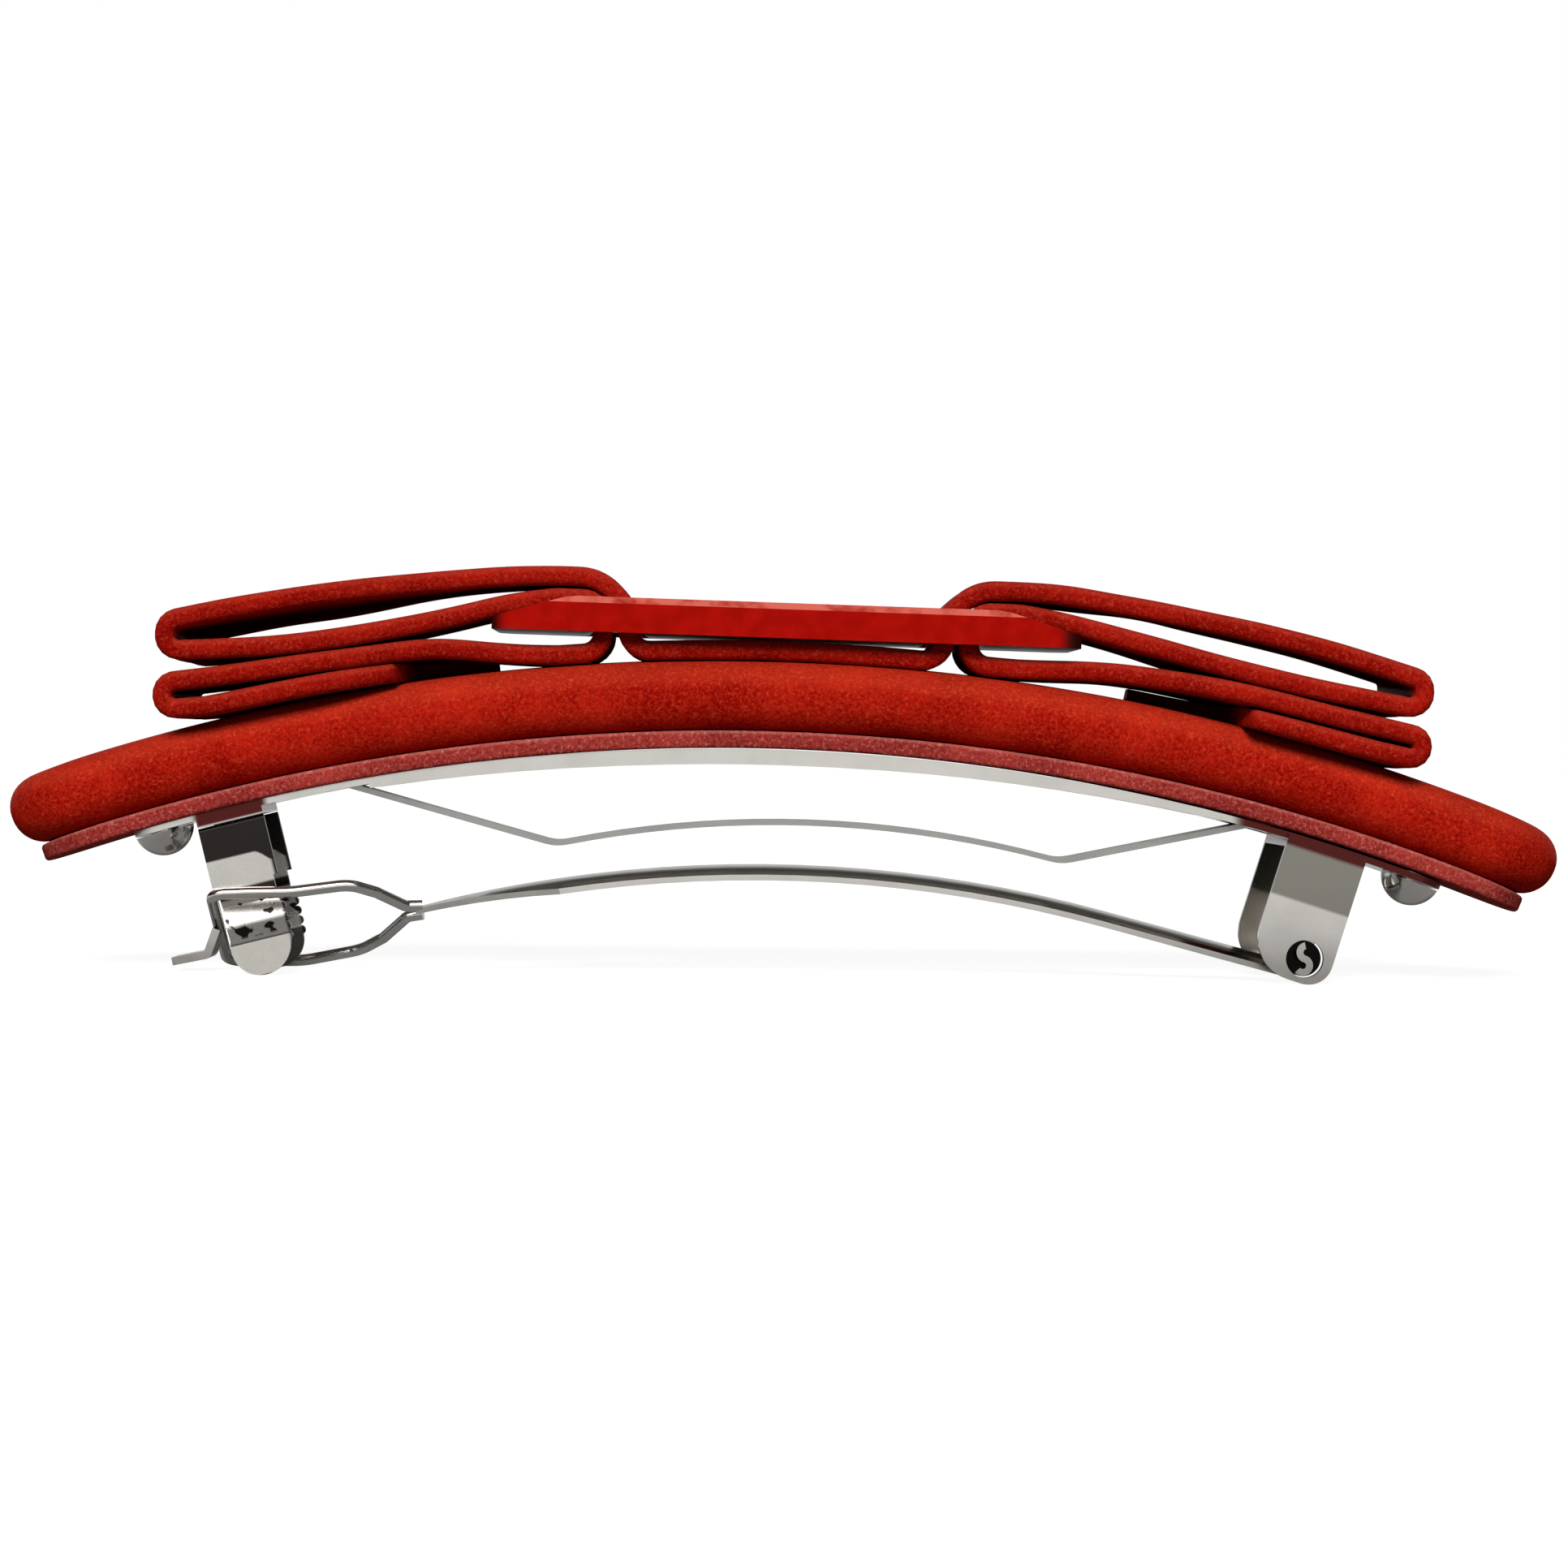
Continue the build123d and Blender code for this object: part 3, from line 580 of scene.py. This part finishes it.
def rounded_profile(half_width, thickness, rounding, steps=10, flats=8, crown=0.0):
    """Profile of a slab with round edges, from its top's middle to its underside's middle."""
    edge = rounding / half_width
    flat = 1 - edge
    rows = [(flat * i / flats, -crown * (i / flats) ** 2) for i in range(flats)]
    angles = [math.pi / 2 * i / steps for i in range(steps + 1)]
    for angle in angles:
        drop = (rounding - crown / 2) * (1 - math.cos(angle))
        rows.append((flat + edge * math.sin(angle), -crown - drop))
    for angle in angles:
        rows.append((flat + edge * math.cos(angle), -thickness + rounding * (1 - math.sin(angle))))
    rows += [(flat * (1 - i / flats), -thickness) for i in range(1, flats + 1)]
    return rows


def make_padded_bar():
    """Padded bar, with a faint crown across its top."""
    half_width = BAR_WIDTH / 2
    profile = rounded_profile(half_width, BAR_THICKNESS, BAR_ROUNDING, crown=BAR_CROWN)
    mesh = stadium_mesh("padded_bar_leather", BAR_HALF_ARC, half_width, profile, BAR_RADIUS)
    piece = new_object("padded_bar_leather", mesh, "base", RED_LEATHER)
    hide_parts("padded_bar")


def make_lining():
    """Thin lining under the bar, a little narrower and shorter."""
    half_width = BAR_WIDTH / 2 - LINING_SETBACK
    half_length = BAR_HALF_ARC - LINING_END_SETBACK
    profile = rounded_profile(half_width, LINING_THICKNESS, LINING_ROUNDING, steps=4)
    top = BAR_RADIUS - BAR_THICKNESS - LINING_GAP
    mesh = stadium_mesh("lining_leather_strip", half_length, half_width, profile, top)
    piece = new_object("lining_leather_strip", mesh, "base", LINING_LEATHER)
    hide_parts("lining_strip")


# Bow ribbon, a sheet that follows nearly the same route as its solid
# Each row: share of the way from the plate's end to the loop's fold, plies above the bar, bend in plies

LEFT_LOWER_LOOP = [
    (0.52, 0.54, 8),
    (0.84, 0.54, 8),
    (1.0, 0.98, 0.62),
    (1.0, 2.3, 0.62),
    (0.70, 1.73, 8),
    (0.45, 1.56, 8),
    (0.17, 1.54, 6),
    (-0.13, 0.52, 5),
]
LEFT_UPPER_LOOP = [
    (0.13, 2.85, 5),
    (0.37, 2.6, 8),
    (0.66, 2.76, 8),
    (1.0, 3.86, 0.7),
    (1.0, 5.33, 0.7),
    (0.694, 5.12, 12),
    (0.292, 4.84, 12),
    (-0.091, 4.62, 10),
]
RIGHT_LOWER_LOOP = [
    (0.85, 0.55, 8),
    (1.0, 0.82, 0.55),
    (1.0, 2.02, 0.55),
    (0.68, 1.62, 8),
    (0.44, 1.54, 8),
    (0.12, 1.34, 6),
    (-0.13, 0.68, 5),
]
RIGHT_UPPER_LOOP = [
    (0.13, 3.0, 5),
    (0.46, 2.57, 8),
    (0.66, 2.68, 8),
    (1.0, 3.36, 0.64),
    (1.0, 4.75, 0.64),
    (0.701, 4.8, 12),
    (0.252, 4.62, 12),
    (-0.066, 4.68, 10),
]


def on_bar(x, plies):
    """Place of the ribbon's middle line at x, a number of plies above the bar."""
    return (x, math.sqrt(BAR_RADIUS**2 - x**2) - BAR_RADIUS + PLY_GAP + plies * PLY - SEATING)


def half_route(hand, reach, tail, cut_end, lower_loop, upper_loop):
    """Corners and bend radii of half the ribbon, from its tail to the plate's middle."""
    plate_end = PLATE_LENGTH / 2
    way = reach - RIBBON_THICKNESS / 2 - plate_end
    under = PLY + PLY_GAP
    over = PLY_GAP + RIBBON_THICKNESS / 2
    slot_outer = plate_end - PLATE_END_BAR
    rising = slot_outer - SLOT_GAP - RIBBON_THICKNESS / 2
    falling = slot_outer - PLATE_SLOT + SLOT_GAP + RIBBON_THICKNESS / 2
    bar_top = under + PLATE_BAR_HEIGHT + over
    crest = bar_top + CREST_PLIES * PLY

    def loop_rows(loop):
        return [(on_bar(plate_end + share * way, plies), bend * PLY) for share, plies, bend in loop]

    rows = [
        (on_bar(tail, TAIL_PLIES), 0.0),
        (on_bar(cut_end, CUT_END_PLIES), CUT_END_BEND_RADIUS),
        *loop_rows(lower_loop),
        (on_bar(rising, FOOT_PLIES), BEND_RADIUS),
        ((rising, bar_top), BEND_RADIUS),
        ((slot_outer + PLATE_END_BAR / 2, bar_top), OVER_BAR_BEND_RADIUS),
        ((plate_end, under + PLATE_END_HEIGHT + over + PLY_GAP), OVER_BAR_BEND_RADIUS),
        *loop_rows(upper_loop),
        ((falling + CREST_LEAN, crest), CREST_BEND_RADIUS),
        ((falling, crest - CREST_LEAN), CREST_FOOT_BEND_RADIUS),
        (on_bar(falling, FOOT_PLIES), FALL_BEND_RADIUS),
        (on_bar(falling / 3, UNDER_PLATE_PLIES), UNDER_PLATE_BEND_RADIUS),
    ]
    return [(Vector((hand * x, y)), bend) for (x, y), bend in rows]


def rounded_line(rows, turn_step=math.radians(6)):
    """Places along a polyline whose corners are arcs."""
    places = [rows[0][0]]
    for (before, _), (corner, bend), (after, _) in zip(rows, rows[1:], rows[2:]):
        back, ahead = (before - corner).normalized(), (after - corner).normalized()
        turn = math.pi - back.angle(ahead)
        cut = bend * math.tan(turn / 2)
        centre = corner + (back + ahead).normalized() * (bend / math.cos(turn / 2))
        start, finish = corner + back * cut - centre, corner + ahead * cut - centre
        pieces = max(2, round(turn / turn_step))
        sweep = start.angle_signed(finish)
        for i in range(pieces + 1):
            places.append(centre + Matrix.Rotation(-sweep * i / pieces, 2) @ start)
    places.append(rows[-1][0])
    return places


def evenly_spaced(places, step):
    """Places at even steps along a polyline."""
    lengths = [0.0]
    for first, second in zip(places, places[1:]):
        lengths.append(lengths[-1] + (second - first).length)
    count = round(lengths[-1] / step)
    spaced, row = [], 0
    for i in range(count + 1):
        target = lengths[-1] * i / count
        while row < len(lengths) - 2 and lengths[row + 1] < target:
            row += 1
        run = lengths[row + 1] - lengths[row]
        share = (target - lengths[row]) / run if run > 0 else 0.0
        spaced.append(places[row].lerp(places[row + 1], share))
    return spaced


def relaxed(places, step, rounds=60, tight=5.0, reach=4, margin=5):
    """The same places with the slack stretches smoothed. Bends tighter than a radius stay."""
    last = len(places) - 1
    held = []
    for i, place in enumerate(places):
        first = place - places[max(i - reach, 0)]
        second = places[min(i + reach, last)] - place
        bend = first.angle(second) if first.length > 0 and second.length > 0 else math.pi
        held.append(bend > reach * step / tight)
    free = [not any(held[max(i - margin, 0) : i + margin + 1]) for i in range(len(places))]
    for _ in range(rounds):
        places = [
            (places[i - 1] + place * 2 + places[i + 1]) / 4 if free[i] else place
            for i, place in enumerate(places)
        ]
    return places


def smooth_share(value, low, high):
    """Smooth step from 0 at low to 1 at high."""
    share = min(max((value - low) / (high - low), 0.0), 1.0)
    return share * share * (3 - 2 * share)


def ribbon_half_width(x):
    """Half of the ribbon's width at x, narrow between the plate's ends."""
    share = smooth_share(abs(x) - PLATE_LENGTH / 2 - WAIST_MARGIN, 0.0, WAIST_SHOULDER)
    return (RIBBON_WAIST + (RIBBON_WIDTH - RIBBON_WAIST) * share) / 2


def ribbon_section(back, front, thickness, across=14, corner=5):
    """Closed section of the ribbon as (across, lift) pairs, with rounded edges."""
    rounding = thickness / RIBBON_THICKNESS * RIBBON_ROUNDING
    rise = thickness / 2 - rounding
    inner_front, inner_back = front - rounding, back + rounding
    # Rows: middle of a rounded corner, the side that it is on, and where the flat after it ends
    corners = [
        (inner_front, 1, inner_back),
        (inner_back, 1, None),
        (inner_back, -1, inner_front),
        (inner_front, -1, None),
    ]
    points = []
    for turn, (middle, lift, far) in enumerate(corners):
        for i in range(corner + 1):
            angle = math.pi / 2 * (turn + i / corner)
            point = (middle + rounding * math.cos(angle), lift * rise + rounding * math.sin(angle))
            points.append(point)
        if far is not None:
            height = lift * thickness / 2
            points += [(middle + (far - middle) * i / across, height) for i in range(1, across)]
    return points


def strand_lean(place):
    """How far the back edge of an upper strand hangs below its front edge."""
    height = (place.y - on_bar(place.x, 0.0)[1]) / PLY
    start, finish, drop = STRAND_LEAN[-1 if place.x < 0 else 1]
    upper = smooth_share(height, *UPPER_STRAND_PLIES)
    return drop * upper * smooth_share(abs(place.x), start, finish)


def ribbon_ring(i, place, normal, from_end):
    """World points of the ribbon's section at one place of its route."""
    waver = WAVER * noise.noise(Vector((i * WAVER_PACE, WAVER_PLACE, 0.0)))
    half_width = ribbon_half_width(place.x) + waver
    full = smooth_share(from_end, 0.0, THINNING_START)
    thickness = RIBBON_THICKNESS * (TAIL_THINNING + (1 - TAIL_THINNING) * full)
    notch = 1.0 - smooth_share(from_end, *NOTCH_RANGE)
    slant = NOTCH_DEPTH + NOTCH_SLANT * (1.0 - min(from_end, 1.0))
    front = half_width * (1.0 - notch * slant)
    ring = []
    for across, lift in ribbon_section(-half_width, front, thickness):
        hang = strand_lean(place) * (1 - across / half_width) / 2
        ripple_place = Vector((i * RIPPLE_PACE, across * RIPPLE_PACE_ACROSS, RIPPLE_PLACE))
        rise = lift + RIPPLE * noise.noise(ripple_place)
        ring.append(side_point(place.x + normal.x * rise, place.y + normal.y * rise - hang, across))
    return ring


def make_bow_ribbon():
    """The bow's one strip, folded into two loops a side and threaded through the plate."""
    left = half_route(-1, LEFT_LOOP_REACH, LEFT_TAIL, LEFT_CUT_END, LEFT_LOWER_LOOP, LEFT_UPPER_LOOP)
    right = half_route(
        1, RIGHT_LOOP_REACH, RIGHT_TAIL, RIGHT_CUT_END, RIGHT_LOWER_LOOP, RIGHT_UPPER_LOOP
    )
    places = relaxed(evenly_spaced(rounded_line(left + right[::-1]), ROUTE_STEP), ROUTE_STEP)
    last = len(places) - 1
    left_tail = (LEFT_CUT_END - LEFT_TAIL) / ROUTE_STEP
    right_tail = (RIGHT_CUT_END - RIGHT_TAIL) / ROUTE_STEP
    mesh = bmesh.new()
    rings = []
    for i, place in enumerate(places):
        tangent = (places[min(i + 1, last)] - places[max(i - 1, 0)]).normalized()
        normal = Vector((-tangent.y, tangent.x))
        from_end = min(i / left_tail, (last - i) / right_tail)
        ring = ribbon_ring(i, place, normal, from_end)
        rings.append([mesh.verts.new(point) for point in ring])
    for first, second in zip(rings, rings[1:]):
        for i in range(len(first)):
            j = (i + 1) % len(first)
            mesh.faces.new((first[i], first[j], second[j], second[i]))
    mesh.faces.new(rings[0])
    mesh.faces.new(rings[-1][::-1])
    made = finished_mesh("bow_leather", mesh)
    piece = new_object("bow_leather", made, "base", BOW_LEATHER)
    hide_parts("bow_ribbon")


# Metal and paint on the CAD's own pieces

METAL_BEVEL = 0.05
METAL_BEVEL_SEGMENTS = 2
PLATE_BEVEL = 0.3
PLATE_BEVEL_SEGMENTS = 3
BEVEL_ANGLE = math.radians(35)


def finish_cad(names, material, bevel=METAL_BEVEL, segments=METAL_BEVEL_SEGMENTS):
    """A finish and softly rounded edges on CAD nodes."""
    for name in names:
        piece = nodes[name]
        piece.data.materials.clear()
        piece.data.materials.append(material)
        for polygon in piece.data.polygons:
            polygon.use_smooth = True
        rounding = piece.modifiers.new("edges", "BEVEL")
        rounding.width = bevel * MM
        rounding.segments = segments
        rounding.limit_method = "ANGLE"
        rounding.angle_limit = BEVEL_ANGLE
        rounding.harden_normals = True


# Floor, light and camera

CAMERA_DISTANCE = 270.0
CAMERA_X = -4.07
CAMERA_Z = 13.95
CAMERA_ROLL = math.radians(-0.506)
CAMERA_CLIP = (0.01, 20.0)
SENSOR_WIDTH = 36.0
VIEW_HALF_WIDTH = 48.735
# Shift of the vanishing point, as shares of the picture's width
VANISHING_SHIFT = (86 / 1932, -41 / 1932)

# What polished pieces see in front of them: share of the way from straight down to up, and tone
FRONT_ZONES = [
    (0.40, 0.30),
    (0.50, 0.52),
    (0.51, 1.00),
    (0.58, 0.80),
    (0.66, 0.35),
    (0.72, 3.2),
    (0.90, 3.2),
    (0.93, 0.06),
]
# Shares toward the viewer where the front's zones begin, and away where the backdrop does
FRONT_START = (0.25, 0.6)
BACKDROP_START = (0.75, 0.95)
SIDE_TONE = 0.07
BACKDROP_TONE = 0.55
AMBIENT_TONE = 0.09
WHITE = 1.0

FLOOR_HALF_SIZE = 3.0
FLOOR_CLOUD_SCALE = 3.0
FLOOR_CLOUD_RANGE = (0.3, 0.7)
FLOOR_SHADES = (0.27, 0.29)
FLOOR_ROUGHNESS = 0.95
FLOOR_GLOW = 0.92
# Distances on the floor, in metres, between which it turns from dark to bright in reflections
FLOOR_FADE = (0.035, 0.11)
FLOOR_TONES = (0.06, 0.55)

SUN_DIRECTION = (0.08, 0.86, -0.50)
SUN_ANGLE = math.radians(22)
SUN_POWER = 3.1


def grey(tone):
    return (tone, tone, tone)


def make_floor():
    """Pale floor, near white to the camera and a soft mid grey in reflections."""
    mesh = bmesh.new()
    bmesh.ops.create_grid(mesh, x_segments=1, y_segments=1, size=FLOOR_HALF_SIZE)
    made = bpy.data.meshes.new("floor")
    mesh.to_mesh(made)
    mesh.free()
    floor = bpy.data.objects.new("floor", made)
    bpy.context.scene.collection.objects.link(floor)
    shader = Shader("floor")
    cloud = shader.noise(FLOOR_CLOUD_SCALE, SOFT_DETAIL)
    shades = [grey(tone) for tone in FLOOR_SHADES]
    shader.drive("Base Color", shader.ramp(cloud, *FLOOR_CLOUD_RANGE, *shades))
    shader.hold("Roughness", FLOOR_ROUGHNESS)
    shader.hold("Specular IOR Level", 0.0)
    rays = shader.node("ShaderNodeLightPath").outputs
    far = shader.smooth(shader.length(shader.coordinates()), *FLOOR_FADE)
    mirrored = shader.product(rays["Is Glossy Ray"], shader.span(far, *FLOOR_TONES))
    glow = shader.sum(mirrored, shader.product(rays["Is Camera Ray"], FLOOR_GLOW))
    shader.drive("Emission Strength", glow)
    shader.hold("Emission Color", (*grey(WHITE), 1.0))
    floor.data.materials.append(shader.material)


def make_camera():
    """Camera at the photo's place, with its picture shifted to the photo's frame."""
    data = bpy.data.cameras.new("camera")
    camera = bpy.data.objects.new("camera", data)
    bpy.context.scene.collection.objects.link(camera)
    data.sensor_width = SENSOR_WIDTH
    data.lens = SENSOR_WIDTH / 2 * CAMERA_DISTANCE / VIEW_HALF_WIDTH
    data.shift_x, data.shift_y = VANISHING_SHIFT
    data.clip_start, data.clip_end = CAMERA_CLIP
    camera.location = Vector((CAMERA_X, -CAMERA_DISTANCE, CAMERA_Z)) * MM
    camera.rotation_euler = (math.pi / 2, CAMERA_ROLL, 0.0)
    bpy.context.scene.camera = camera


def make_world():
    """Studio surroundings: white to the camera, zones for reflections, a low even tone for the rest."""
    world = bpy.data.worlds.new("studio")
    bpy.context.scene.world = world
    world.use_nodes = True
    studio = Nodes(world.node_tree)
    _, depth, height = studio.parts("Generated")
    level = studio.node("ShaderNodeMapRange")
    level.inputs["From Min"].default_value = -1.0
    studio.link(height, level.inputs["Value"])
    ramp = studio.node("ShaderNodeValToRGB")
    studio.link(level.outputs["Result"], ramp.inputs["Fac"])
    for place, tone in FRONT_ZONES:
        stop = ramp.color_ramp.elements.new(place)
        stop.color = (*grey(tone), 1.0)
    behind = studio.smooth(depth, *BACKDROP_START)
    backdrop = studio.mix(behind, grey(SIDE_TONE), grey(BACKDROP_TONE))
    in_front = studio.smooth(studio.product(depth, -1.0), *FRONT_START)
    zones = studio.mix(in_front, backdrop, ramp.outputs["Color"])
    rays = studio.node("ShaderNodeLightPath").outputs
    unseen = studio.mix(rays["Is Glossy Ray"], grey(AMBIENT_TONE), zones)
    colour = studio.mix(rays["Is Camera Ray"], unseen, grey(WHITE))
    studio.link(colour, studio.tree.nodes["Background"].inputs["Color"])


def make_sun():
    """Soft sunlight that lights matt surfaces only. Polished ones reflect the studio's zones."""
    data = bpy.data.lights.new("front", "SUN")
    data.angle = SUN_ANGLE
    data.energy = SUN_POWER
    light = bpy.data.objects.new("front", data)
    light.visible_glossy = False
    bpy.context.scene.collection.objects.link(light)
    light.rotation_euler = Vector(SUN_DIRECTION).to_track_quat("-Z", "Y").to_euler()


make_padded_bar()
make_lining()
make_bow_ribbon()
finish_cad(["bow_plate"], RED_PAINT, PLATE_BEVEL, PLATE_BEVEL_SEGMENTS)
finish_cad(["rivet_left", "rivet_right"], NICKEL)
finish_cad(["clip_base"], BASE_NICKEL)
finish_cad(["latch_tongue_front", "latch_tongue_back"], TONGUE_NICKEL)
finish_cad(["clasp_arm"], ARM_NICKEL)
finish_cad(["tension_spring"], SPRING_STEEL)
make_floor()
make_camera()
make_world()
make_sun()
bpy.context.scene.view_settings.view_transform = "Standard"
